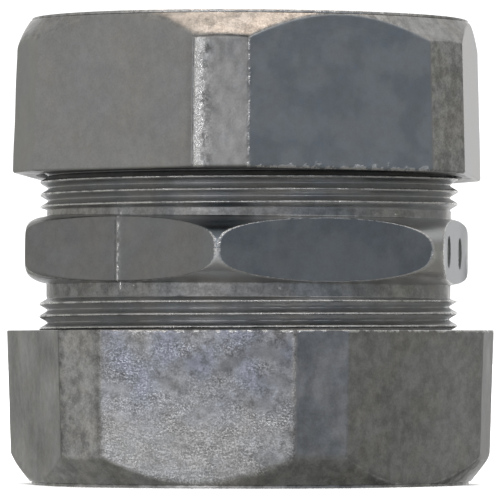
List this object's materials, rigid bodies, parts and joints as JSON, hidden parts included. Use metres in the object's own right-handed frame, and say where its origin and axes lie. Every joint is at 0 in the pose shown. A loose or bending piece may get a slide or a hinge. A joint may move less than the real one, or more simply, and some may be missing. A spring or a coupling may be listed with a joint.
{
  "type": "conduit compression fitting",
  "caption": "Die-cast coupling that joins thin-wall steel conduits end to end: hexagonal ring, threaded ends, hexagon compression nuts and split gripping rings.",
  "frame": {"origin": "centre of the coupling, on the conduit axis, halfway between the two outer end faces", "axes": "+Z along the conduit axis towards the upper nut's end face, -Y is the front, +X to the right of the front"},
  "size_m": [0.062, 0.0624, 0.0592],
  "materials": {
    "body_zinc": "raw die-cast zinc, matte to satin",
    "upper_nut_zinc": "raw die-cast zinc, matte to satin",
    "lower_nut_zinc": "raw die-cast zinc, matte to satin, mottled",
    "ring_steel": "zinc-plated steel strip"
  },
  "bodies": {
    "coupling": {"coupling_body": "body_zinc"},
    "upper_ring": {"upper_compression_ring": "ring_steel"},
    "upper_nut": {"upper_compression_nut": "upper_nut_zinc"},
    "lower_ring": {"lower_compression_ring": "ring_steel"},
    "lower_nut": {"lower_compression_nut": "lower_nut_zinc"}
  },
  "joints": [
    {"name": "upper_nut_travel", "type": "slide", "parent": "coupling", "child": "upper_ring", "axis": [0, 0, 1], "range_m": [0, 0.00953]},
    {"name": "upper_nut_turn", "type": "hinge", "parent": "upper_ring", "child": "upper_nut", "pos_m": [0, 0, 0.01], "axis": [0, 0, 1], "range_deg": [0, 2160]},
    {"name": "lower_nut_travel", "type": "slide", "parent": "coupling", "child": "lower_ring", "axis": [0, 0, -1], "range_m": [0, 0.00953]},
    {"name": "lower_nut_turn", "type": "hinge", "parent": "lower_ring", "child": "lower_nut", "pos_m": [0, 0, -0.01], "axis": [0, 0, -1], "range_deg": [0, 2160]}
  ],
  "couplings": [
    {"joint": "upper_nut_travel", "follows": "upper_nut_turn", "m_per_rad": 0.00025266},
    {"joint": "lower_nut_travel", "follows": "lower_nut_turn", "m_per_rad": 0.00025266}
  ]
}
